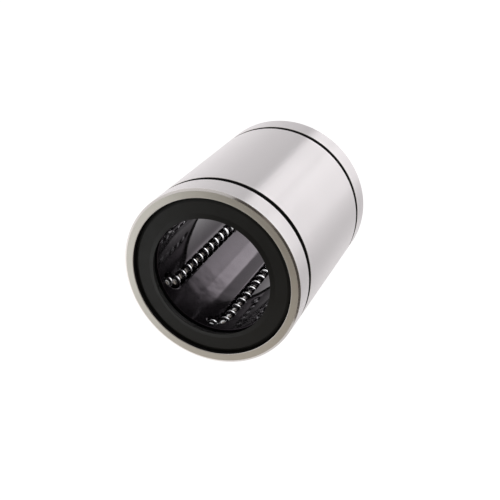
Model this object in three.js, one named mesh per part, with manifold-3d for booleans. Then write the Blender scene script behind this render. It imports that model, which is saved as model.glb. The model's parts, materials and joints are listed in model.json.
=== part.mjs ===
// A linear ball bushing for a 60 mm shaft, 90 mm outside and 110 mm long, in millimetres.
// The bushing lies on its side: its axis is +Y, +Z is up, and the origin is on the axis at mid-length.
// Its front end faces -Y. Angles about the axis run from +X towards +Z.
import * as THREE from "three";
import { mergeVertices } from "three/addons/utils/BufferGeometryUtils.js";
import Module from "manifold-3d";

const wasm = await Module();
wasm.setup();

// Driving dimensions
const SHAFT_R = 30;
const SLEEVE_R = 45;
const HALF_LENGTH = 55;
const BALL_R = 3.3735; // balls of 17/64 inch
const CIRCUITS = 6;
const FIRST_CIRCUIT_ANGLE = -150; // degrees, the first load row's place about the axis
const BALL_PITCH = 7.1; // along the path of the balls
const ROW_BALLS = 10;
const TURN_BALLS = 3;
const REST_SHIFTS = [-2.6, 1.7, 0.6, -1.2, 2.9, -0.4]; // where each load row has stopped, along the axis
const GAP = 0.3; // between pieces that touch on the real bushing

// Sleeve
const FACETS = 36; // one facet is centred on the floor side, and one on each load row
const END_CHAMFER = 0.8;
const GROOVE_R = 43.25;
const GROOVE_WIDTH = 3.15;
const GROOVE_OUTER_EDGE = 42.5; // from mid-length
const GROOVE_CHAMFER = 0.35;
const RECESS_R = 40.35; // counterbore that takes a seal
const RECESS_DEPTH = 5;
const RECESS_CHAMFER = 0.35;
const RING_GROOVE_R = 41.7;
const RING_GROOVE_WIDTH = 1.6;
const RELIEF_R = 39.8; // room for the return rows outside the retainer
const LAND_HALF_LENGTH = 37.3;

// Seal, as depths in from the sleeve's end
const SEAL_FRONT = 1.5;
const SEAL_BACK = 4.9;
const SEAL_FACE_R = 38.2;
const SEAL_SIDE_FRONT = 2.4; // where its front chamfer meets its side
const LIP_R = 29.9;
const LIP_FRONT = 0.8; // the lip leans out past the seal's face
const LIP_FOOT_R = 32.2;
const LIP_TIP = 0.25;
const LIP_RELIEF_R = 31.2;
const LIP_RELIEF_FRONT = 3.2;
const INSERT_INNER_R = 33.9;
const INSERT_OUTER_R = 38.9;
const INSERT_FRONT = 4.1;

// Side ring
const SIDE_RING_INNER_R = 34.5;
const SIDE_RING_THICKNESS = 1;
const SIDE_RING_OPENING = 24; // degrees, the split that lets it spring into its groove
const SIDE_RING_SEGMENTS = 20;

// Retainer
const RETAINER_BORE_R = 30.4;
const RETAINER_R = 36.7;
const RETAINER_CHAMFER = 0.4;
const CHANNEL_FLOOR_R = 31;
const CHANNEL_HALF_WIDTH = BALL_R + GAP;
const SLOT_HALF_WIDTH = 3.2;
const SLOT_TURN_REACH = 9.6; // how far across the turns the slot stays open to the bore

// Worked out from the driving dimensions
const LOAD_R = SHAFT_R + BALL_R; // the load rows' ball centres
const TURN_R = (TURN_BALLS * BALL_PITCH) / Math.PI;
const STRAIGHT_HALF = (ROW_BALLS * BALL_PITCH) / 2;
const LAND_R = LOAD_R + BALL_R + GAP;
const RING_GROOVE_END = HALF_LENGTH - RECESS_DEPTH;
const RELIEF_END = RING_GROOVE_END - RING_GROOVE_WIDTH;
const STEP = (2 * Math.PI) / FACETS;
const TURN_ANGLE = Math.PI / TURN_BALLS;

// Facets and joins
const NECK_ANGLE = Math.PI / 7; // where a ball in a row meets the neck that joins it to the next one
const NECK_R = 1;
const RADIAL_SIDES = 6;
const BALL_BANDS = 4;
const TURN_SEGMENTS = 8;
const OUTSIDE = 4; // how far a cutting solid passes the surface it cuts through
const OVERCUT = 1; // how far solids that are joined, or cut together, reach into each other

const degrees = (angle) => THREE.MathUtils.degToRad(angle);
const circuitAngle = (i) => degrees(FIRST_CIRCUIT_ANGLE + (i * 360) / CIRCUITS);
const circuitAngles = [...Array(CIRCUITS).keys()].map(circuitAngle);

function material(color, roughness, metalness) {
  return new THREE.MeshStandardMaterial({ color, roughness, metalness });
}

const groundSteel = material(0xd9d6dc, 0.22, 1);
const ballSteel = material(0xe2e3e6, 0.08, 1);
const stampedSteel = material(0x9a9a9e, 0.4, 1);
const blackRubber = material(0x2a2b2a, 0.75, 0);
const blackResin = material(0x141416, 0.25, 0);

// A closed three.js geometry as a solid that can be cut and joined.
function solidOf(geometry) {
  const bare = geometry.clone();
  bare.deleteAttribute("normal");
  bare.deleteAttribute("uv");
  const merged = mergeVertices(bare, 1e-4);
  return new wasm.Manifold(
    new wasm.Mesh({
      numProp: 3,
      vertProperties: merged.attributes.position.array,
      triVerts: new Uint32Array(merged.index.array),
    }),
  );
}

// The solid's mesh as a three.js geometry.
function geometryOf(solid) {
  const mesh = solid.getMesh();
  const geometry = new THREE.BufferGeometry();
  geometry.setAttribute("position", new THREE.BufferAttribute(new Float32Array(mesh.vertProperties), 3));
  geometry.setIndex(new THREE.BufferAttribute(new Uint32Array(mesh.triVerts), 1));
  geometry.computeVertexNormals();
  return geometry;
}

// A ring about the Y axis, from a closed outline of [radius, y] points that runs anticlockwise.
function ring(profile) {
  const outline = [...profile, profile[0]].map(([r, y]) => new THREE.Vector2(r, y));
  return new THREE.LatheGeometry(outline, FACETS, STEP / 2);
}

// A profile given for y > 0 from its bore side out, closed with its mirror image at y < 0.
function mirrored(outer, inner) {
  const flip = ([r, y]) => [r, -y];
  return [...outer.map(flip), ...[...outer].reverse(), ...inner, ...[...inner].reverse().map(flip)];
}

function named(name, geometry, finish) {
  const mesh = new THREE.Mesh(geometry, finish);
  mesh.name = name;
  return mesh;
}

// One raised raceway: a bar along the sleeve whose inner face is flat to the load row.
function racewayLand(angle) {
  const halfWidth = LAND_R * Math.tan(STEP / 2);
  const height = RELIEF_R + OVERCUT - LAND_R;
  const bar = new THREE.BoxGeometry(height, 2 * LAND_HALF_LENGTH, 2 * halfWidth);
  bar.translate(LAND_R + height / 2, 0, 0);
  bar.rotateY(-angle);
  return solidOf(bar);
}

// The sleeve: two grooves for mounting rings outside, and the seal recesses and raceways inside.
function outerSleeve() {
  const flat = 1 / Math.cos(STEP / 2); // the facets, not their corners, lie on the sleeve's true radius
  const top = SLEEVE_R * flat;
  const bottom = GROOVE_R * flat;
  const grooveInnerEdge = GROOVE_OUTER_EDGE - GROOVE_WIDTH;
  const outer = [
    [RECESS_R + RECESS_CHAMFER, HALF_LENGTH],
    [top - END_CHAMFER, HALF_LENGTH],
    [top, HALF_LENGTH - END_CHAMFER],
    [top, GROOVE_OUTER_EDGE + GROOVE_CHAMFER],
    [top - GROOVE_CHAMFER, GROOVE_OUTER_EDGE],
    [bottom, GROOVE_OUTER_EDGE],
    [bottom, grooveInnerEdge],
    [top - GROOVE_CHAMFER, grooveInnerEdge],
    [top, grooveInnerEdge - GROOVE_CHAMFER],
  ];
  const inner = [
    [RECESS_R, HALF_LENGTH - RECESS_CHAMFER],
    [RECESS_R, RING_GROOVE_END],
    [RING_GROOVE_R, RING_GROOVE_END],
    [RING_GROOVE_R, RELIEF_END],
    [RELIEF_R, RELIEF_END],
  ];
  let sleeve = solidOf(ring(mirrored(outer, inner)));
  for (const angle of circuitAngles) sleeve = sleeve.add(racewayLand(angle));
  return named("outer_sleeve", geometryOf(sleeve), groundSteel);
}

// A circuit's own frame has its origin on the bushing's axis, y along it and z out through the load row. The
// return row is at x = 2 * TURN_R, at the same height as the load row, so the balls leave it along a tangent.

// A closed track outline about the circuit's middle: the points at a distance from the path of the balls.
function trackOutline(path, distance) {
  const r = TURN_R + distance;
  path.moveTo(r, -STRAIGHT_HALF);
  path.lineTo(r, STRAIGHT_HALF);
  path.absarc(0, STRAIGHT_HALF, r, 0, Math.PI, false);
  path.lineTo(-r, -STRAIGHT_HALF);
  path.absarc(0, -STRAIGHT_HALF, r, Math.PI, 2 * Math.PI, false);
  return path;
}

// A solid that follows the whole circuit, between two heights over the shaft's axis.
function trackSolid(halfWidth, low, high) {
  const shape = trackOutline(new THREE.Shape(), halfWidth);
  shape.holes.push(trackOutline(new THREE.Path(), -halfWidth));
  const options = { depth: high - low, bevelEnabled: false, curveSegments: TURN_SEGMENTS };
  const track = new THREE.ExtrudeGeometry(shape, options);
  return solidOf(track.translate(TURN_R, 0, low));
}

// A box from outside the load row across to x = reach, over a stretch of the bushing's length.
function reachBox(reach, fromY, toY) {
  const outside = SLOT_HALF_WIDTH + OVERCUT;
  const box = new THREE.BoxGeometry(reach + outside, toY - fromY, 2 * RETAINER_R);
  return solidOf(box.translate((reach - outside) / 2, (fromY + toY) / 2, RETAINER_R));
}

// Where a circuit opens to the bore: along its load row, and round its turns until the balls clear the floor.
function slotRegion() {
  const front = reachBox(SLOT_TURN_REACH, -HALF_LENGTH, -STRAIGHT_HALF);
  const rear = reachBox(SLOT_TURN_REACH, STRAIGHT_HALF, HALF_LENGTH);
  return reachBox(TURN_R, -STRAIGHT_HALF, STRAIGHT_HALF).add(front).add(rear);
}

// One circuit's cutter: a channel for the balls, and under the load row a narrower slot through to the bore.
function channelCutter() {
  const core = new THREE.CylinderGeometry(CHANNEL_FLOOR_R, CHANNEL_FLOOR_R, 2 * HALF_LENGTH, FACETS);
  const channel = trackSolid(CHANNEL_HALF_WIDTH, RETAINER_BORE_R - OUTSIDE, RETAINER_R + OUTSIDE);
  const slot = trackSolid(SLOT_HALF_WIDTH, RETAINER_BORE_R - OUTSIDE, CHANNEL_FLOOR_R + OVERCUT);
  return channel.subtract(solidOf(core)).add(slot.intersect(slotRegion()));
}

// The retainer: a tube with six channels that guide the balls.
function ballRetainer() {
  const chamferStart = RELIEF_END - RETAINER_CHAMFER;
  const outer = [
    [RETAINER_BORE_R + RETAINER_CHAMFER, RELIEF_END],
    [RETAINER_R - RETAINER_CHAMFER, RELIEF_END],
    [RETAINER_R, chamferStart],
  ];
  const inner = [[RETAINER_BORE_R, chamferStart]];
  let retainer = solidOf(ring(mirrored(outer, inner)));
  const cutter = channelCutter();
  for (const angle of circuitAngles) {
    retainer = retainer.subtract(cutter.rotate([0, 90 - THREE.MathUtils.radToDeg(angle), 0]));
  }
  return named("ball_retainer", geometryOf(retainer), blackResin);
}

// A row of balls as one turned solid along Y: each ball joined to the next by a short neck.
function ballRow(name, x, shift) {
  const bead = [NECK_ANGLE, Math.PI / 2, Math.PI - NECK_ANGLE];
  const first = (-(ROW_BALLS - 1) / 2) * BALL_PITCH;
  const outline = [new THREE.Vector2(0, first - BALL_R * Math.cos(NECK_ANGLE))];
  for (let i = 0; i < ROW_BALLS; i++) {
    const middle = first + i * BALL_PITCH;
    for (const angle of bead) {
      outline.push(new THREE.Vector2(BALL_R * Math.sin(angle), middle - BALL_R * Math.cos(angle)));
    }
  }
  outline.push(new THREE.Vector2(0, -outline[0].y));
  const mesh = named(name, new THREE.LatheGeometry(outline, RADIAL_SIDES), ballSteel);
  mesh.position.set(x, shift, LOAD_R);
  return mesh;
}

// The balls of one turn, joined by necks, in a half circle about the turn's own centre. They stand as far round
// it as the circuit's load row stands along the axis.
function ballTurn(name, end, shift) {
  const moved = (end * shift) / TURN_R;
  const place = (step) => {
    const angle = step * TURN_ANGLE - moved;
    return new THREE.Vector3(TURN_R * Math.cos(angle), end * TURN_R * Math.sin(angle), 0);
  };
  let turn = null;
  for (let i = 0; i < TURN_BALLS; i++) {
    const centre = place(i + 0.5);
    const ball = new THREE.SphereGeometry(BALL_R, RADIAL_SIDES, BALL_BANDS);
    const ballSolid = solidOf(ball.translate(centre.x, centre.y, centre.z));
    turn = turn ? turn.add(ballSolid) : ballSolid;
    if (i === 0) continue;
    const before = place(i - 0.5);
    const neck = new THREE.CylinderGeometry(NECK_R, NECK_R, centre.distanceTo(before), RADIAL_SIDES);
    neck.rotateZ(Math.atan2(before.x - centre.x, centre.y - before.y));
    neck.translate((centre.x + before.x) / 2, (centre.y + before.y) / 2, 0);
    turn = turn.add(solidOf(neck));
  }
  const mesh = named(name, geometryOf(turn), ballSteel);
  mesh.position.set(TURN_R, end * STRAIGHT_HALF, LOAD_R);
  return mesh;
}

// One circuit's four groups of balls, turned to its place about the axis.
function ballCircuit(number, angle) {
  const circuit = new THREE.Group();
  const prefix = `circuit_${number}_`;
  const shift = REST_SHIFTS[number - 1];
  circuit.add(ballRow(`${prefix}load_balls`, 0, shift));
  circuit.add(ballRow(`${prefix}return_balls`, 2 * TURN_R, -shift));
  circuit.add(ballTurn(`${prefix}front_turn_balls`, -1, shift));
  circuit.add(ballTurn(`${prefix}rear_turn_balls`, 1, shift));
  circuit.rotation.y = Math.PI / 2 - angle;
  return circuit;
}

// One end's seal, its stiffening ring and its side ring: made at the rear end, and turned for the front.
function endParts(prefix, end) {
  const group = new THREE.Group();
  const y = (depth) => HALF_LENGTH - depth;
  const outerR = RECESS_R - GAP;
  const seal = ring([
    [LIP_R, y(LIP_FRONT + 2 * LIP_TIP)],
    [LIP_RELIEF_R, y(LIP_RELIEF_FRONT)],
    [LIP_RELIEF_R, y(SEAL_BACK)],
    [INSERT_INNER_R - GAP, y(SEAL_BACK)],
    [INSERT_INNER_R - GAP, y(INSERT_FRONT - GAP)],
    [INSERT_OUTER_R + GAP, y(INSERT_FRONT - GAP)],
    [INSERT_OUTER_R + GAP, y(SEAL_BACK)],
    [outerR, y(SEAL_BACK)],
    [outerR, y(SEAL_SIDE_FRONT)],
    [SEAL_FACE_R, y(SEAL_FRONT)],
    [LIP_FOOT_R, y(SEAL_FRONT)],
    [LIP_R + LIP_TIP, y(LIP_FRONT)],
    [LIP_R, y(LIP_FRONT + LIP_TIP)],
  ]);
  const insert = ring([
    [INSERT_INNER_R, y(SEAL_BACK)],
    [INSERT_OUTER_R, y(SEAL_BACK)],
    [INSERT_OUTER_R, y(INSERT_FRONT)],
    [INSERT_INNER_R, y(INSERT_FRONT)],
  ]);
  group.add(named(`${prefix}_seal`, seal, blackRubber));
  group.add(named(`${prefix}_seal_insert`, insert, stampedSteel));
  group.add(named(`${prefix}_side_ring`, sideRing(), stampedSteel));
  if (end < 0) group.rotation.z = Math.PI;
  return group;
}

// The split spring-steel ring, in the middle of its groove.
function sideRing() {
  const opening = degrees(SIDE_RING_OPENING) / 2;
  const up = Math.PI / 2;
  const shape = new THREE.Shape();
  shape.absarc(0, 0, RING_GROOVE_R - GAP, up + opening, up - opening + 2 * Math.PI, false);
  shape.absarc(0, 0, SIDE_RING_INNER_R, up - opening + 2 * Math.PI, up + opening, true);
  const options = { depth: SIDE_RING_THICKNESS, bevelEnabled: false, curveSegments: SIDE_RING_SEGMENTS };
  const split = new THREE.ExtrudeGeometry(shape, options);
  split.translate(0, 0, -SIDE_RING_THICKNESS / 2);
  split.rotateX(Math.PI / 2);
  split.translate(0, RING_GROOVE_END - RING_GROOVE_WIDTH / 2, 0);
  return split;
}

const bushing = new THREE.Group();
bushing.add(outerSleeve());
bushing.add(ballRetainer());
circuitAngles.forEach((angle, i) => bushing.add(ballCircuit(i + 1, angle)));
bushing.add(endParts("front", -1));
bushing.add(endParts("rear", 1));

export default bushing;
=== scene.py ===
import json
import math

import bmesh
import bpy
from mathutils import Matrix, Vector


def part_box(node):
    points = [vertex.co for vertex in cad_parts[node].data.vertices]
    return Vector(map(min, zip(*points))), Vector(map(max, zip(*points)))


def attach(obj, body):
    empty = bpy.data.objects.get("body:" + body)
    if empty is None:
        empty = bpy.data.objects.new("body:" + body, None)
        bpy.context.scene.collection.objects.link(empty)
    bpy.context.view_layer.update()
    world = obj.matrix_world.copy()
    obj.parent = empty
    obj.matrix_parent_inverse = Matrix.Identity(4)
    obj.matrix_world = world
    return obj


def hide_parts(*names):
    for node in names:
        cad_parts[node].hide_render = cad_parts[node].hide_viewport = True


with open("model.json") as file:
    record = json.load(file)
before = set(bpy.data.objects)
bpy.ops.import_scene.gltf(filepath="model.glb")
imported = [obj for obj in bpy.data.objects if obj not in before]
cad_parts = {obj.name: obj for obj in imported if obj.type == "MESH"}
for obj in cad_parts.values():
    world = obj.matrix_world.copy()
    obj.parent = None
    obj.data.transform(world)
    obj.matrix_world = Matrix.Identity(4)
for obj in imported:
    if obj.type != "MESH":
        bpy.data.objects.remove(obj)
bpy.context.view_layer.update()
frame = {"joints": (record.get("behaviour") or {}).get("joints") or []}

# A linear ball bushing on its side: its axis is +Y and its front end faces -Y. Lengths are millimetres,
# unless a comment says metres, and turn into metres where a mesh is made. Angles about the axis run from
# +X towards +Z.
MM = 0.001
SLEEVE_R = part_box("outer_sleeve")[1].x / MM
HALF_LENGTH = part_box("outer_sleeve")[1].y / MM
JOINTS = {joint["name"]: joint for joint in frame["joints"]}
CIRCUITS = sum(name.endswith("load_travel") for name in JOINTS)

# Sleeve
GROOVE_R = 43.25
GROOVE_OUTER_EDGE = 42.5
GROOVE_WIDTH = 3.15
GROOVE_CHAMFER = 0.15
END_CHAMFER = (1.1, 0.6)  # across the end face, and along the outside
RECESS_R = 40.35
RING_GROOVE_R = 41.7
RING_GROOVE_END = 50.0
RELIEF_END = 48.4
RELIEF_R = 39.8
LAND_HALF_LENGTH = 36.0
LAND_HALF_ANGLE = math.radians(5.2)
LAND_SHOULDER_R = 36.0
LAND_END = (0.4, 0.1)  # outline points this far beyond and within a land's end make its end wall
RACEWAY_R = 3.44

# Balls
BALL_R = 3.3735
LOAD_R = 33.3735
BALL_PITCH = 7.1
ROW_BALLS = 10
TURN_BALLS = 3
TURN_R = TURN_BALLS * BALL_PITCH / math.pi
STRAIGHT_HALF = ROW_BALLS * BALL_PITCH / 2

# Retainer
RETAINER_BORE_R = 30.4
RETAINER_R = 36.7
RETAINER_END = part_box("ball_retainer")[1].y / MM
CHANNEL_R = 3.4335
SLOT_HALF_WIDTH = 3.2
EDGE_R = 0.8  # the rounding of a slot's edge at the bore
SLOT_CUT_R = (29.0, 32.4)  # the slot cutters run from inside the bore to inside the channels
CHANNEL_CUT_OVER = 1.5  # how far the channel cutters stand out of the retainer
SLOT_TURN_ANGLE = math.radians(66)

# Seal and what is behind it, as depths in from the sleeve's end
SEAL_FRONT = 1.5
SEAL_BACK = 4.9
SEAL_R = 40.05
SEAL_FACE_R = 38.2
SEAL_SIDE_FRONT = 2.4
LIP_R = 29.9
LIP_FRONT = 0.8
LIP_FOOT_R = 32.2
LIP_RELIEF_R = 31.2
LIP_RELIEF_FRONT = 3.2
INSERT_FRONT = 4.1
INSERT_R = (33.9, 38.9)
SIDE_RING_R = (34.5, 41.4)
SIDE_RING_DEPTHS = (5.3, 6.3)
SIDE_RING_OPENING = math.radians(24)

SIDE_RING_STATIONS = 224  # segments of a side ring, which is open at the top

AROUND = 240  # segments of a full turn
SLIVER = 4e-6  # metres; an edge shorter than this is a leftover of cutting

CAMERA_PLACE = (0.15772, -0.40707, 0.19736)  # metres
CAMERA_LENS = 66.35
CAMERA_AZIMUTH = math.radians(21.31)
CAMERA_DIP = math.radians(25.33)


# ---------------------------------------------------------------- camera

def make_camera():
    """The camera stands in front of the bushing, to its right and above it, and isn't rolled."""
    flat = Vector((-math.sin(CAMERA_AZIMUTH), math.cos(CAMERA_AZIMUTH), 0))
    forward = flat * math.cos(CAMERA_DIP) - Vector((0, 0, math.sin(CAMERA_DIP)))
    right = flat.cross(Vector((0, 0, 1)))
    up = right.cross(forward)
    data = bpy.data.cameras.new("camera")
    data.sensor_width = 36.0
    data.lens = CAMERA_LENS
    data.clip_start = 0.01
    camera = bpy.data.objects.new("camera", data)
    bpy.context.scene.collection.objects.link(camera)
    turn = Matrix((right, up, -forward)).transposed().to_4x4()
    camera.matrix_world = Matrix.Translation(CAMERA_PLACE) @ turn
    bpy.context.scene.camera = camera


# ---------------------------------------------------------------- mesh helpers

def new_object(name, vertices, faces, normals=None):
    """A smooth mesh object from millimetre vertices. normals, where given, are each vertex's own."""
    mesh = bpy.data.meshes.new(name)
    mesh.from_pydata([tuple(c * MM for c in v) for v in vertices], [], faces)
    mesh.validate()
    mesh.shade_smooth()
    if normals:
        mesh.normals_split_custom_set_from_vertices(normals)
    piece = bpy.data.objects.new(name, mesh)
    bpy.context.scene.collection.objects.link(piece)
    return piece


def rounded(corners, steps=4):
    """Points (r, y) and outward normals of a closed outline of (r, y, fillet) corners.

    The outline runs anticlockwise. A corner without a fillet gets a zero normal, which leaves it to
    the mesh.
    """
    outline = []
    for i, (r, y, fillet) in enumerate(corners):
        here = Vector((r, y))
        if fillet == 0:
            outline.append((here, Vector((0, 0))))
            continue
        back = Vector(corners[i - 1][:2]) - here
        ahead = Vector(corners[(i + 1) % len(corners)][:2]) - here
        half = back.angle(ahead) / 2
        longest = 0.45 * min(back.length, ahead.length)  # so that two fillets of one side never meet
        reach = min(fillet / math.tan(half), longest)
        radius = reach * math.tan(half)
        middle = (back.normalized() + ahead.normalized()).normalized()
        centre = here + middle * radius / math.sin(half)
        bulge = 1 if ahead.x * back.y - ahead.y * back.x > 0 else -1
        start = here + back.normalized() * reach - centre
        sweep = bulge * (math.pi - 2 * half)
        for k in range(steps + 1):
            arm = Matrix.Rotation(sweep * k / steps, 2) @ start
            outline.append((centre + arm, arm.normalized() * bulge))
    return outline


def on_axis(angle, radius, y):
    return (radius * math.cos(angle), y, radius * math.sin(angle))


def lathe(name, corners, radius_at=None):
    """A ring about Y from an outline of (r, y, fillet) corners.

    radius_at(angle, r, y), where given, may change a point's radius.
    """
    outline = rounded(corners)
    vertices, normals = [], []
    for j in range(AROUND):
        angle = 2 * math.pi * j / AROUND
        for point, normal in outline:
            radius = radius_at(angle, *point) if radius_at else point.x
            vertices.append(on_axis(angle, radius, point.y))
            normals.append(on_axis(angle, normal.x, normal.y))
    count = len(outline)
    faces = []
    for j in range(AROUND):
        this, that = j * count, (j + 1) % AROUND * count
        for i in range(count):
            k = (i + 1) % count
            faces.append((this + i, this + k, that + k, that + i))
    return new_object(name, vertices, faces, normals)


def circuit_frame(number):
    """The directions of a ball circuit's own x (towards its return row), y (the axis) and z (outwards)."""
    outward = Vector(JOINTS[f"circuit_{number}_rear_turn_travel"]["axis"]).normalized()
    along = Vector((0, 1, 0))
    return along.cross(outward), along, outward


def assign(piece, *materials):
    for material in materials:
        piece.data.materials.append(material)
    return piece


def settle(piece, body, slot, *nodes):
    """Hands a piece to the frame: the body it rides on, and hides the CAD nodes it stands for. slot, its
    finish, is not used.
    """
    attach(piece, body)
    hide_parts(*nodes)


# ---------------------------------------------------------------- material helpers

class Graph:
    """Short names for building a node tree."""

    def __init__(self, tree):
        self.tree = tree

    def link(self, output, socket):
        self.tree.links.new(output, socket)

    def add(self, kind, **settings):
        node = self.tree.nodes.new(kind)
        for key, value in settings.items():
            setattr(node, key, value)
        return node

    def math(self, operation, *values):
        """Arithmetic on outputs and plain numbers."""
        node = self.add("ShaderNodeMath", operation=operation)
        for socket, value in zip(node.inputs, values):
            if isinstance(value, (int, float)):
                socket.default_value = value
            else:
                self.link(value, socket)
        return node.outputs[0]

    def ramp(self, value, stops):
        """A piecewise linear function of value, from its (position, level) stops."""
        node = self.add("ShaderNodeFloatCurve")
        curve = node.mapping.curves[0]
        top = max(level for _, level in stops)
        if stops[0][0] > 0:
            stops = [(0.0, stops[0][1]), *stops]
        if stops[-1][0] < 1:
            stops = [*stops, (1.0, stops[-1][1])]
        while len(curve.points) < len(stops):
            curve.points.new(0.5, 0.5)
        for point, (position, level) in zip(curve.points, stops):
            point.location = (position, level / top)
            point.handle_type = "VECTOR"
        node.mapping.update()
        self.link(value, node.inputs["Value"])
        return self.math("MULTIPLY", node.outputs["Value"], top)


class Surface(Graph):
    """A Principled material with procedural detail, in metres. Uniform numbers sit on its sockets."""

    def __init__(self, name, **sockets):
        self.material = bpy.data.materials.new(name)
        self.material.use_nodes = True
        super().__init__(self.material.node_tree)
        self.shader = self.tree.nodes["Principled BSDF"]
        for socket, value in sockets.items():
            self.shader.inputs[socket.replace("_", " ")].default_value = value
        self.place = self.tree.nodes.new("ShaderNodeTexCoord").outputs["Object"]
        self.normal = None

    def stretched(self, scale):
        """Object coordinates scaled by (x, y, z), in cells per metre."""
        node = self.add("ShaderNodeVectorMath", operation="MULTIPLY")
        self.link(self.place, node.inputs[0])
        node.inputs[1].default_value = scale
        return node.outputs[0]

    def radius(self):
        """Distance from the bushing's axis, in metres."""
        flat = self.stretched((1, 0, 1))
        node = self.add("ShaderNodeVectorMath", operation="LENGTH")
        self.link(flat, node.inputs[0])
        return node.outputs["Value"]

    def along(self):
        """Distance from mid length, along the bushing's axis, in metres."""
        split = self.add("ShaderNodeSeparateXYZ")
        self.link(self.place, split.inputs[0])
        return self.math("ABSOLUTE", split.outputs["Y"])

    def noise(self, scale, detail=2.0, roughness=0.5):
        node = self.add("ShaderNodeTexNoise")
        self.link(self.stretched(scale), node.inputs["Vector"])
        node.inputs["Scale"].default_value = 1.0
        node.inputs["Detail"].default_value = detail
        node.inputs["Roughness"].default_value = roughness
        return node.outputs["Fac"]

    def rings(self, per_metre, detail=1.0):
        """Noise that changes only with the distance from the axis, as turning marks on an end face do."""
        node = self.add("ShaderNodeTexNoise", noise_dimensions="1D")
        self.link(self.radius(), node.inputs["W"])
        node.inputs["Scale"].default_value = per_metre
        node.inputs["Detail"].default_value = detail
        return node.outputs["Fac"]

    def ranged(self, value, low, high, start=0.3, end=0.7):
        """value from start to end becomes low to high."""
        node = self.add("ShaderNodeMapRange")
        self.link(value, node.inputs["Value"])
        for socket, number in (("From Min", start), ("From Max", end), ("To Min", low), ("To Max", high)):
            node.inputs[socket].default_value = number
        return node.outputs["Result"]

    def mixed(self, factor, first, second):
        """A colour that runs from first to second as factor runs from 0 to 1."""
        node = self.add("ShaderNodeMix", data_type="RGBA")
        self.link(factor, node.inputs["Factor"])
        node.inputs["A"].default_value = (*first, 1)
        node.inputs["B"].default_value = (*second, 1)
        return node.outputs["Result"]

    def bump(self, height, distance, strength=1.0):
        """Adds relief of that height in metres on top of any bump already there."""
        node = self.add("ShaderNodeBump")
        self.link(height, node.inputs["Height"])
        node.inputs["Distance"].default_value = distance
        node.inputs["Strength"].default_value = strength
        if self.normal:
            self.link(self.normal, node.inputs["Normal"])
        self.normal = node.outputs["Normal"]
        self.link(self.normal, self.shader.inputs["Normal"])

    def colour(self, output):
        self.link(output, self.shader.inputs["Base Color"])

    def rough(self, output):
        self.link(output, self.shader.inputs["Roughness"])


# ---------------------------------------------------------------- materials

def ground_steel():
    """Centreless-ground steel: fine lines round the sleeve, which spread its highlights along the axis."""
    s = Surface("ground_steel", Metallic=1.0, Anisotropic=0.95, Anisotropic_Rotation=0.25)
    tangent = s.add("ShaderNodeTangent", direction_type="RADIAL", axis="Y")
    s.link(tangent.outputs["Tangent"], s.shader.inputs["Tangent"])
    haze = s.noise((45, 45, 45), 3.0)
    lines = s.noise((25, 6500, 25), 2.0)
    s.colour(s.mixed(haze, (0.80, 0.76, 0.772), (0.84, 0.805, 0.815)))
    s.rough(s.ranged(haze, 0.35, 0.39))
    s.bump(lines, 0.0000012)
    return s.material


def turned_steel():
    """The sleeve's end faces: matt, with fine concentric turning marks and a warm cast."""
    s = Surface("turned_steel", Metallic=1.0)
    marks = s.rings(5200)
    cast = s.noise((70, 70, 70), 3.0)
    s.colour(s.mixed(cast, (0.665, 0.64, 0.58), (0.745, 0.725, 0.665)))
    s.rough(s.ranged(marks, 0.34, 0.5))
    s.bump(marks, 0.000006)
    return s.material


def polished_steel():
    """The sleeve's broken edges, which handling and honing have worn bright."""
    s = Surface("polished_steel", Metallic=1.0)
    nicks = s.noise((1400, 1400, 1400), 2.0)
    s.colour(s.mixed(nicks, (0.74, 0.69, 0.66), (0.84, 0.80, 0.78)))
    s.rough(s.ranged(nicks, 0.13, 0.2))
    s.bump(nicks, 0.000004)
    return s.material


def blackened_steel():
    """Unground steel with its dark heat-treatment scale: the ring grooves and the sleeve's inside."""
    s = Surface("blackened_steel", Metallic=0.6)
    scale = s.noise((900, 900, 900), 3.0)
    s.colour(s.mixed(scale, (0.006, 0.006, 0.007), (0.03, 0.028, 0.027)))
    s.rough(s.ranged(scale, 0.4, 0.6))
    s.bump(scale, 0.00001)
    return s.material


def ball_steel():
    """Lapped balls: mirror bright, with a faint film of oil."""
    s = Surface("ball_steel", Metallic=1.0)
    film = s.noise((700, 700, 700), 2.0)
    s.colour(s.mixed(film, (0.78, 0.78, 0.80), (0.86, 0.86, 0.87)))
    s.rough(s.ranged(film, 0.03, 0.09))
    return s.material


def pressed_steel():
    """Stamped spring steel with rolling marks."""
    s = Surface("pressed_steel", Metallic=1.0)
    grain = s.noise((300, 2500, 2500), 2.0)
    s.colour(s.mixed(grain, (0.33, 0.33, 0.34), (0.5, 0.5, 0.51)))
    s.rough(s.ranged(grain, 0.3, 0.45))
    s.bump(grain, 0.000004)
    return s.material


def seal_rubber():
    """Moulded nitrile rubber: matt black with a fine grain and a faint bloom."""
    s = Surface("seal_rubber", Specular_IOR_Level=0.36)
    grain = s.noise((3200, 3200, 3200), 2.0)
    bloom = s.noise((160, 160, 160), 4.0)
    s.colour(s.mixed(bloom, (0.0015, 0.0016, 0.0012), (0.005, 0.0052, 0.0042)))
    s.rough(s.ranged(bloom, 0.42, 0.56))
    s.bump(grain, 0.00002, 0.5)
    s.bump(bloom, 0.00006, 0.4)
    return s.material


def retainer_resin():
    """Glossy moulded resin with a film of grease, duller towards the ends, where shafts have wiped it."""
    s = Surface("retainer_resin", Specular_Tint=(1.0, 0.8, 0.98, 1))
    grease = s.noise((110, 60, 110), 4.0)
    flow = s.noise((350, 30, 350), 2.0)
    sink = s.noise((150, 110, 150), 1.0)
    s.colour(s.mixed(grease, (0.002, 0.002, 0.0022), (0.005, 0.005, 0.0055)))
    wiped = s.ranged(s.along(), 0.0, 0.055, 0.02, 0.034)
    s.rough(s.math("ADD", s.ranged(grease, 0.04, 0.09), wiped))
    s.bump(flow, 0.000006, 0.5)
    s.bump(sink, 0.00004)
    return s.material


# ---------------------------------------------------------------- pieces

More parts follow.
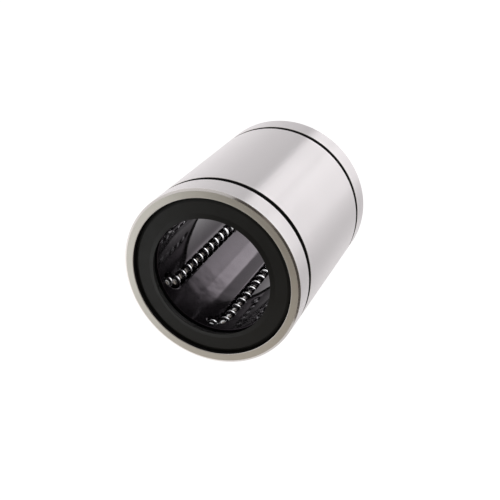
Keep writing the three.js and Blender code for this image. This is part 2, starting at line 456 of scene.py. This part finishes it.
def sleeve_radius(angle, r, y):
    """Inside the sleeve, six raised lands each carry a raceway groove over the length of the load rows."""
    if r > RELIEF_R + 0.01 or abs(y) > LAND_HALF_LENGTH:
        return r
    for number in range(1, CIRCUITS + 1):
        outward = circuit_frame(number)[2]
        off = math.remainder(angle - math.atan2(outward.z, outward.x), 2 * math.pi)
        if abs(off) < LAND_HALF_ANGLE:
            across = min(abs(LAND_SHOULDER_R * math.sin(off)), RACEWAY_R)
            return max(LAND_SHOULDER_R, LOAD_R + math.sqrt(RACEWAY_R**2 - across**2))
    return r


def outer_sleeve(ground, turned, blackened, polished):
    """The ground sleeve, with its mounting-ring grooves, seal recesses, side-ring grooves and lands."""
    inner_edge = GROOVE_OUTER_EDGE - GROOVE_WIDTH
    across, down = END_CHAMFER
    beyond, within = LAND_END
    outside = [
        (RECESS_R, HALF_LENGTH, 0.35),
        (SLEEVE_R - across, HALF_LENGTH, 0.15),
        (SLEEVE_R, HALF_LENGTH - down, 0.25),
        (SLEEVE_R, GROOVE_OUTER_EDGE + GROOVE_CHAMFER, 0.06),
        (SLEEVE_R - GROOVE_CHAMFER, GROOVE_OUTER_EDGE, 0.06),
        (GROOVE_R, GROOVE_OUTER_EDGE, 0.2),
        (GROOVE_R, inner_edge, 0.2),
        (SLEEVE_R - GROOVE_CHAMFER, inner_edge, 0.06),
        (SLEEVE_R, inner_edge - GROOVE_CHAMFER, 0.06),
    ]
    inside = [
        (RECESS_R, RING_GROOVE_END, 0.05),
        (RING_GROOVE_R, RING_GROOVE_END, 0.2),
        (RING_GROOVE_R, RELIEF_END, 0.2),
        (RELIEF_R, RELIEF_END, 0.15),
        (RELIEF_R, LAND_HALF_LENGTH + beyond, 0),
        (RELIEF_R, LAND_HALF_LENGTH - within, 0),
    ]
    low = [(r, -y, fillet) for r, y, fillet in outside]
    high = [(r, y, fillet) for r, y, fillet in reversed(outside)]
    back = [(r, -y, fillet) for r, y, fillet in reversed(inside)]
    piece = lathe("sleeve", low + high + inside + back, sleeve_radius)
    assign(piece, ground, turned, blackened, polished)
    turned_index, blackened_index, polished_index = 1, 2, 3
    for face in piece.data.polygons:
        centre = face.center / MM
        radius = math.hypot(centre.x, centre.z)
        endward = abs(face.normal.y)
        if radius < RECESS_R + 0.01 and abs(centre.y) < HALF_LENGTH - SEAL_SIDE_FRONT:
            face.material_index = blackened_index
        elif radius < SLEEVE_R - GROOVE_CHAMFER and abs(centre.y) < GROOVE_OUTER_EDGE + 0.1:
            face.material_index = blackened_index
        elif endward > 0.97 or radius < RECESS_R + 0.01:
            face.material_index = turned_index
        elif endward > 0.05:
            face.material_index = polished_index
    settle(piece, "bushing_housing", "sleeve_steel", "outer_sleeve")


def end_ring(name, corners, end, material, slot):
    """A ring at one end of the bushing, from corners of (radius, depth, fillet)."""
    outline = [(r, end * (HALF_LENGTH - depth), fillet) for r, depth, fillet in corners]
    piece = assign(lathe(name, outline if end > 0 else outline[::-1]), material)
    settle(piece, "bushing_housing", slot, name.replace("_piece", ""))


def seal_corners():
    return [
        (LIP_R, LIP_FRONT + 0.5, 0.1),
        (LIP_RELIEF_R, LIP_RELIEF_FRONT, 0.3),
        (LIP_RELIEF_R, SEAL_BACK, 0.1),
        (INSERT_R[0] - 0.3, SEAL_BACK, 0.1),
        (INSERT_R[0] - 0.3, INSERT_FRONT - 0.3, 0.1),
        (INSERT_R[1] + 0.3, INSERT_FRONT - 0.3, 0.1),
        (INSERT_R[1] + 0.3, SEAL_BACK, 0.1),
        (SEAL_R, SEAL_BACK, 0.1),
        (SEAL_R, SEAL_SIDE_FRONT, 0.3),
        (SEAL_FACE_R, SEAL_FRONT, 0.5),
        (LIP_FOOT_R, SEAL_FRONT, 0.4),
        (LIP_R, LIP_FRONT, 0.2),
    ]


def insert_corners():
    low, high = INSERT_R
    places = [(low, SEAL_BACK), (high, SEAL_BACK), (high, INSERT_FRONT), (low, INSERT_FRONT)]
    return [(*place, 0.1) for place in places]


def side_ring(name, end, material):
    """A split spring-steel ring in its groove: a section swept round all but an opening at the top."""
    low, high = SIDE_RING_R
    near, far = (end * (HALF_LENGTH - depth) for depth in SIDE_RING_DEPTHS)
    corners = [(low, far, 0.15), (high, far, 0.15), (high, near, 0.15), (low, near, 0.15)]
    section = rounded(corners if end > 0 else corners[::-1])
    count, stations = len(section), SIDE_RING_STATIONS
    vertices = []
    for j in range(stations + 1):
        share = j / stations
        angle = math.pi / 2 + SIDE_RING_OPENING / 2 + share * (2 * math.pi - SIDE_RING_OPENING)
        vertices += [on_axis(angle, point.x, point.y) for point, _ in section]
    faces = [tuple(range(count))[::-1], tuple(stations * count + i for i in range(count))]
    for j in range(stations):
        for i in range(count):
            k = (i + 1) % count
            faces.append((j * count + i, j * count + k, (j + 1) * count + k, (j + 1) * count + i))
    piece = assign(new_object(name, vertices, faces), material)
    piece.data.set_sharp_from_angle(angle=math.radians(40))
    settle(piece, "bushing_housing", "pressed_steel", name.replace("_piece", ""))


def turn_point(end, angle, offset=0.0):
    """A point of a circuit's path on one of its turns, as (x, y), moved outwards by offset."""
    radius = TURN_R + offset
    return TURN_R - radius * math.cos(angle), end * (STRAIGHT_HALF + radius * math.sin(angle))


def slot_outline(half_width, steps=20):
    """A slot's closed outline: a stroke that follows the load row and hooks round part of both turns."""
    front = [(-1, SLOT_TURN_ANGLE * (steps - k) / steps) for k in range(steps + 1)]
    rear = [(1, SLOT_TURN_ANGLE * k / steps) for k in range(steps + 1)]
    route = front + rear
    outline = [turn_point(end, angle, half_width) for end, angle in route]
    outline += slot_cap(1, half_width, 1)
    outline += [turn_point(end, angle, -half_width) for end, angle in reversed(route)]
    outline += slot_cap(-1, half_width, -1)
    return outline


def slot_cap(end, half_width, side, steps=10):
    """The half circle that closes a slot's outline where it stops on a turn."""
    middle = Vector(turn_point(end, SLOT_TURN_ANGLE))
    arm = Vector(turn_point(end, SLOT_TURN_ANGLE, side * half_width)) - middle
    return [tuple(middle + Matrix.Rotation(-math.pi * k / steps, 2) @ arm) for k in range(1, steps)]


def on_circuit(number, x, y, height):
    """A point in a circuit's own (x, y, z)."""
    across, along, outward = circuit_frame(number)
    return across * x + along * y + outward * height


def on_bore(number, x, y, radius):
    """A point in a circuit's own (x, y), at that distance from the bushing's axis."""
    return on_circuit(number, x, y, math.sqrt(radius**2 - x**2))


def slot_cutter(edge_steps=6):
    """Solids that open each load row to the bore, wider at the bore so that the slot's edge is rounded."""
    inner, outer = SLOT_CUT_R
    walls = [(EDGE_R, inner)]
    for k in range(edge_steps + 1):
        angle = math.radians(10 + 80 * k / edge_steps)
        walls.append((EDGE_R * (1 - math.sin(angle)), RETAINER_BORE_R + EDGE_R * (1 - math.cos(angle))))
    walls.append((0.0, outer))
    layers = [(SLOT_HALF_WIDTH + ease, radius) for ease, radius in walls]
    layers = [(0.0, layers[0][1]), *layers, (0.0, layers[-1][1])]
    vertices, faces = [], []
    for number in range(1, CIRCUITS + 1):
        first = len(vertices)
        for half_width, radius in layers:
            outline = slot_outline(half_width)
            vertices += [on_bore(number, x, y, radius) for x, y in outline]
        count = len(outline)
        for layer in range(len(layers) - 1):
            a, b = first + layer * count, first + (layer + 1) * count
            for i in range(count):
                k = (i + 1) % count
                faces.append((a + i, a + k, b + k, b + i))
    return closed_cutter("slot_cutter", vertices, faces)


def channel_cutter(steps=30, round_steps=14):
    """Solids that clear the whole path of the balls from outside the retainer, with a half-round floor."""
    top = RETAINER_R + CHANNEL_CUT_OVER
    section = [(CHANNEL_R, top), (0.0, top), (-CHANNEL_R, top)]
    for k in range(round_steps + 1):
        angle = math.pi * k / round_steps
        section.append((-CHANNEL_R * math.cos(angle), LOAD_R - CHANNEL_R * math.sin(angle)))
    route = [(-1, math.pi * (steps - k) / steps) for k in range(steps + 1)]
    route += [(1, math.pi * k / steps) for k in range(steps + 1)]
    vertices, faces = [], []
    for number in range(1, CIRCUITS + 1):
        first = len(vertices)
        for end, angle in route:
            for offset, height in section:
                x, y = turn_point(end, angle, offset)
                vertices.append(on_circuit(number, x, y, height))
        for j in range(len(route)):
            a, b = first + j * len(section), first + (j + 1) % len(route) * len(section)
            for i in range(len(section)):
                k = (i + 1) % len(section)
                faces.append((a + i, a + k, b + k, b + i))
    return closed_cutter("channel_cutter", vertices, faces)


def closed_cutter(name, vertices, faces):
    """A closed solid to cut with: meeting points are joined and every face looks outwards."""
    cutter = new_object(name, vertices, faces)
    mesh = bmesh.new()
    mesh.from_mesh(cutter.data)
    bmesh.ops.remove_doubles(mesh, verts=mesh.verts, dist=1e-7)
    bmesh.ops.recalc_face_normals(mesh, faces=mesh.faces)
    mesh.to_mesh(cutter.data)
    mesh.free()
    return cutter


def cut(piece, cutter):
    """Takes the cutter out of the piece for good."""
    modifier = piece.modifiers.new("cut", "BOOLEAN")
    modifier.operation = "DIFFERENCE"
    modifier.solver = "EXACT"
    modifier.object = cutter
    graph = bpy.context.evaluated_depsgraph_get()
    result = bpy.data.meshes.new_from_object(piece.evaluated_get(graph))
    piece.modifiers.clear()
    piece.data = result
    bpy.data.objects.remove(cutter)


def clean_up(piece):
    """Takes out the slivers that cutting leaves."""
    mesh = bmesh.new()
    mesh.from_mesh(piece.data)
    bmesh.ops.remove_doubles(mesh, verts=mesh.verts, dist=SLIVER)
    bmesh.ops.triangulate(mesh, faces=mesh.faces)
    bmesh.ops.dissolve_degenerate(mesh, edges=mesh.edges, dist=SLIVER)
    mesh.to_mesh(piece.data)
    mesh.free()


def round_normals(piece):
    """Exact normals on the retainer's two cylinders, and smooth ones round its slots and channels."""
    mesh = piece.data
    mesh.shade_smooth()
    mesh.set_sharp_from_angle(angle=math.radians(32))
    normals = [(0.0, 0.0, 0.0)] * len(mesh.loops)
    for face in mesh.polygons:
        radial = Vector((face.center.x, 0, face.center.z)).normalized()
        facing = face.normal.dot(radial)
        if abs(facing) < 0.999:
            continue
        for loop in face.loop_indices:
            at = mesh.vertices[mesh.loops[loop].vertex_index].co
            normals[loop] = tuple(Vector((at.x, 0, at.z)).normalized() * math.copysign(1, facing))
    mesh.normals_split_custom_set(normals)


def ball_retainer(material):
    """The moulded cage: a tube with a channel for each circuit, opened to the bore along its load row."""
    inside = [(RETAINER_BORE_R, RETAINER_END, 0.4)]
    outside = [(RETAINER_R, RETAINER_END, 0.4)]
    corners = [(r, -y, f) for r, y, f in outside] + outside + inside + [(r, -y, f) for r, y, f in inside]
    piece = lathe("retainer", corners)
    cut(piece, channel_cutter())
    cut(piece, slot_cutter())
    clean_up(piece)
    round_normals(piece)
    assign(piece, material)
    settle(piece, "bushing_housing", "retainer_resin", "ball_retainer")


def ball_group(name, centres, body, material):
    """One group of separate balls that move together."""
    mesh = bmesh.new()
    for centre in centres:
        place = Matrix.Translation(centre * MM)
        bmesh.ops.create_icosphere(mesh, subdivisions=4, radius=BALL_R * MM, matrix=place)
    data = bpy.data.meshes.new(name)
    mesh.to_mesh(data)
    mesh.free()
    data.shade_smooth()
    piece = assign(bpy.data.objects.new(name, data), material)
    bpy.context.scene.collection.objects.link(piece)
    settle(piece, body, "ball_steel", body)


def ball_circuit(number, material):
    """The four groups of balls of one circuit, from where its load row has stopped along the axis."""
    low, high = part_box(f"circuit_{number}_load_balls")
    shift = (low.y + high.y) / 2 / MM
    row = [(i - (ROW_BALLS - 1) / 2) * BALL_PITCH for i in range(ROW_BALLS)]
    arcs = [math.pi * (i + 0.5) / TURN_BALLS for i in range(TURN_BALLS)]
    groups = {
        "load_balls": [(0.0, y + shift) for y in row],
        "return_balls": [(2 * TURN_R, y - shift) for y in row],
        "front_turn_balls": [turn_point(-1, arc - shift / TURN_R) for arc in arcs],
        "rear_turn_balls": [turn_point(1, arc + shift / TURN_R) for arc in arcs],
    }
    for group, places in groups.items():
        centres = [on_circuit(number, x, y, LOAD_R) for x, y in places]
        ball_group(f"circuit_{number}_{group}_piece", centres, f"circuit_{number}_{group}", material)


# ---------------------------------------------------------------- stage and light

def make_floor():
    """A pale floor under the bushing that merges with the backdrop and isn't in reflections."""
    size = 6.0  # metres to each side
    mesh = bpy.data.meshes.new("floor")
    corners = [(-size, -size, 0), (size, -size, 0), (size, size, 0), (-size, size, 0)]
    mesh.from_pydata(corners, [], [(0, 1, 2, 3)])
    floor = bpy.data.objects.new("floor", mesh)
    floor.location.z = -SLEEVE_R * MM
    bpy.context.scene.collection.objects.link(floor)
    paint = Surface("pale_floor", Base_Color=(0.2, 0.2, 0.2, 1), Roughness=0.9, Specular_IOR_Level=0.0)
    paint.shader.inputs["Emission Color"].default_value = (1, 1, 1, 1)
    paint.shader.inputs["Emission Strength"].default_value = 0.93
    assign(floor, paint.material)
    floor.visible_glossy = False


# The studio, as how bright it is at each angle about the axis, in degrees from +X towards +Z.
STUDIO = [
    (-180, 1.12), (-150, 1.35), (-99, 0.98), (-75, 1.0), (-51, 0.87), (-27, 0.7), (-15, 0.7),
    (-9, 0.88), (0, 1.08), (48, 1.05), (59, 0.76), (78, 0.56), (87, 0.7), (105, 0.75), (129, 0.9),
    (165, 1.07), (180, 1.12),
]
# What is added straight behind the bushing, where its bore and balls see it: mostly a tall bright window.
BEHIND = [
    (-180, 0.0), (-80, 0.3), (-45, 0.3), (-28, 0.25), (-12, 0.1), (-9, 0.1), (-6, 0.8), (25, 0.9),
    (58, 1.6), (61, 2.7), (84.5, 3.0), (87.5, 0.25), (110, 0.2), (130, 0.0), (180, 0.0),
]
# Bands round the +Y direction, as direction cosines along it.
BEHIND_COSINES = (0.81, 0.93)  # where BEHIND is added
DRAPE_COSINES = (0.77, 0.81)  # a dark drape round that, which the near half of the bore sees
DRAPE_LEVEL = 0.3  # how much of the studio's light the drape leaves
FRONT_LEVEL = 0.7  # how bright the studio in front of the bushing is, next to the one behind it

# Dark cards in front of the bushing: an outline of (x, z) points, and how bright the card is.
FLAG_Y = -139.0
FLAGS = {
    "near_flag": ([(-33, -45), (-76, 70), (60, 70), (105, -45)], 0.22),
    "low_flag": ([(-85, -130), (-55, -45), (105, -45), (110, -130)], 0.42),
    "far_flag": ([(110, -130), (105, -45), (60, 70), (-10, 70), (60, 190), (300, 190), (300, -130)], 0.05),
}


def make_world():
    """A plain soft studio with a window behind the bushing, and less light from the front.

    The camera sees no less than white.
    """
    world = bpy.data.worlds.new("studio")
    world.use_nodes = True
    bpy.context.scene.world = world
    graph = Graph(world.node_tree)
    split = graph.add("ShaderNodeSeparateXYZ")
    graph.link(graph.add("ShaderNodeTexCoord").outputs["Generated"], split.inputs[0])
    angle = graph.math("ARCTAN2", split.outputs["Z"], split.outputs["X"])
    turn = graph.math("DIVIDE", graph.math("ADD", angle, math.pi), 2 * math.pi)
    studio = graph.ramp(turn, [((degrees + 180) / 360, level) for degrees, level in STUDIO])
    behind = graph.ramp(turn, [((degrees + 180) / 360, level) for degrees, level in BEHIND])
    low, high = BEHIND_COSINES
    band = [(low - 0.01, 0), (low + 0.01, 1), (high - 0.01, 1), (high + 0.01, 0)]
    ahead = graph.ramp(split.outputs["Y"], band)
    low, high = DRAPE_COSINES
    band = [(low - 0.01, 1), (low, DRAPE_LEVEL), (high - 0.01, DRAPE_LEVEL), (high + 0.005, 1)]
    drape = graph.ramp(split.outputs["Y"], band)
    rear = graph.math("ADD", graph.math("MULTIPLY", studio, drape), graph.math("MULTIPLY", behind, ahead))
    depth = graph.math("ADD", graph.math("MULTIPLY", split.outputs["Y"], 0.5), 0.5)
    dimming = graph.ramp(depth, [(0.3, FRONT_LEVEL), (0.55, 1.0)])
    level = graph.math("MULTIPLY", rear, dimming)
    seen = graph.add("ShaderNodeLightPath").outputs["Is Camera Ray"]
    strength = graph.math("MAXIMUM", level, seen)
    background = world.node_tree.nodes["Background"]
    background.inputs["Color"].default_value = (1, 1, 1, 1)
    graph.link(strength, background.inputs["Strength"])


def make_flags():
    """The dark cards, which only reflections show: they shade the front end."""
    for name, (outline, glow) in FLAGS.items():
        mesh = bpy.data.meshes.new(name)
        corners = [(x * MM, FLAG_Y * MM, z * MM) for x, z in outline]
        mesh.from_pydata(corners, [], [tuple(range(len(corners)))])
        flag = bpy.data.objects.new(name, mesh)
        bpy.context.scene.collection.objects.link(flag)
        felt = Surface(name, Base_Color=(0.01, 0.009, 0.008, 1), Roughness=1.0, Specular_IOR_Level=0.0)
        felt.shader.inputs["Emission Color"].default_value = (1, 0.9, 0.8, 1)
        felt.shader.inputs["Emission Strength"].default_value = glow
        assign(flag, felt.material)
        flag.visible_camera = False
        flag.visible_diffuse = False
        flag.visible_shadow = False


# ---------------------------------------------------------------- the scene

make_camera()
make_floor()
make_flags()
make_world()
bpy.context.scene.view_settings.view_transform = "Standard"

rubber = seal_rubber()
stamped = pressed_steel()
chrome = ball_steel()
outer_sleeve(ground_steel(), turned_steel(), blackened_steel(), polished_steel())
ball_retainer(retainer_resin())
for end_name, end_side in (("front", -1), ("rear", 1)):
    end_ring(f"{end_name}_seal_piece", seal_corners(), end_side, rubber, "seal_rubber")
    end_ring(f"{end_name}_seal_insert_piece", insert_corners(), end_side, stamped, "pressed_steel")
    side_ring(f"{end_name}_side_ring_piece", end_side, stamped)
for circuit in range(1, CIRCUITS + 1):
    ball_circuit(circuit, chrome)
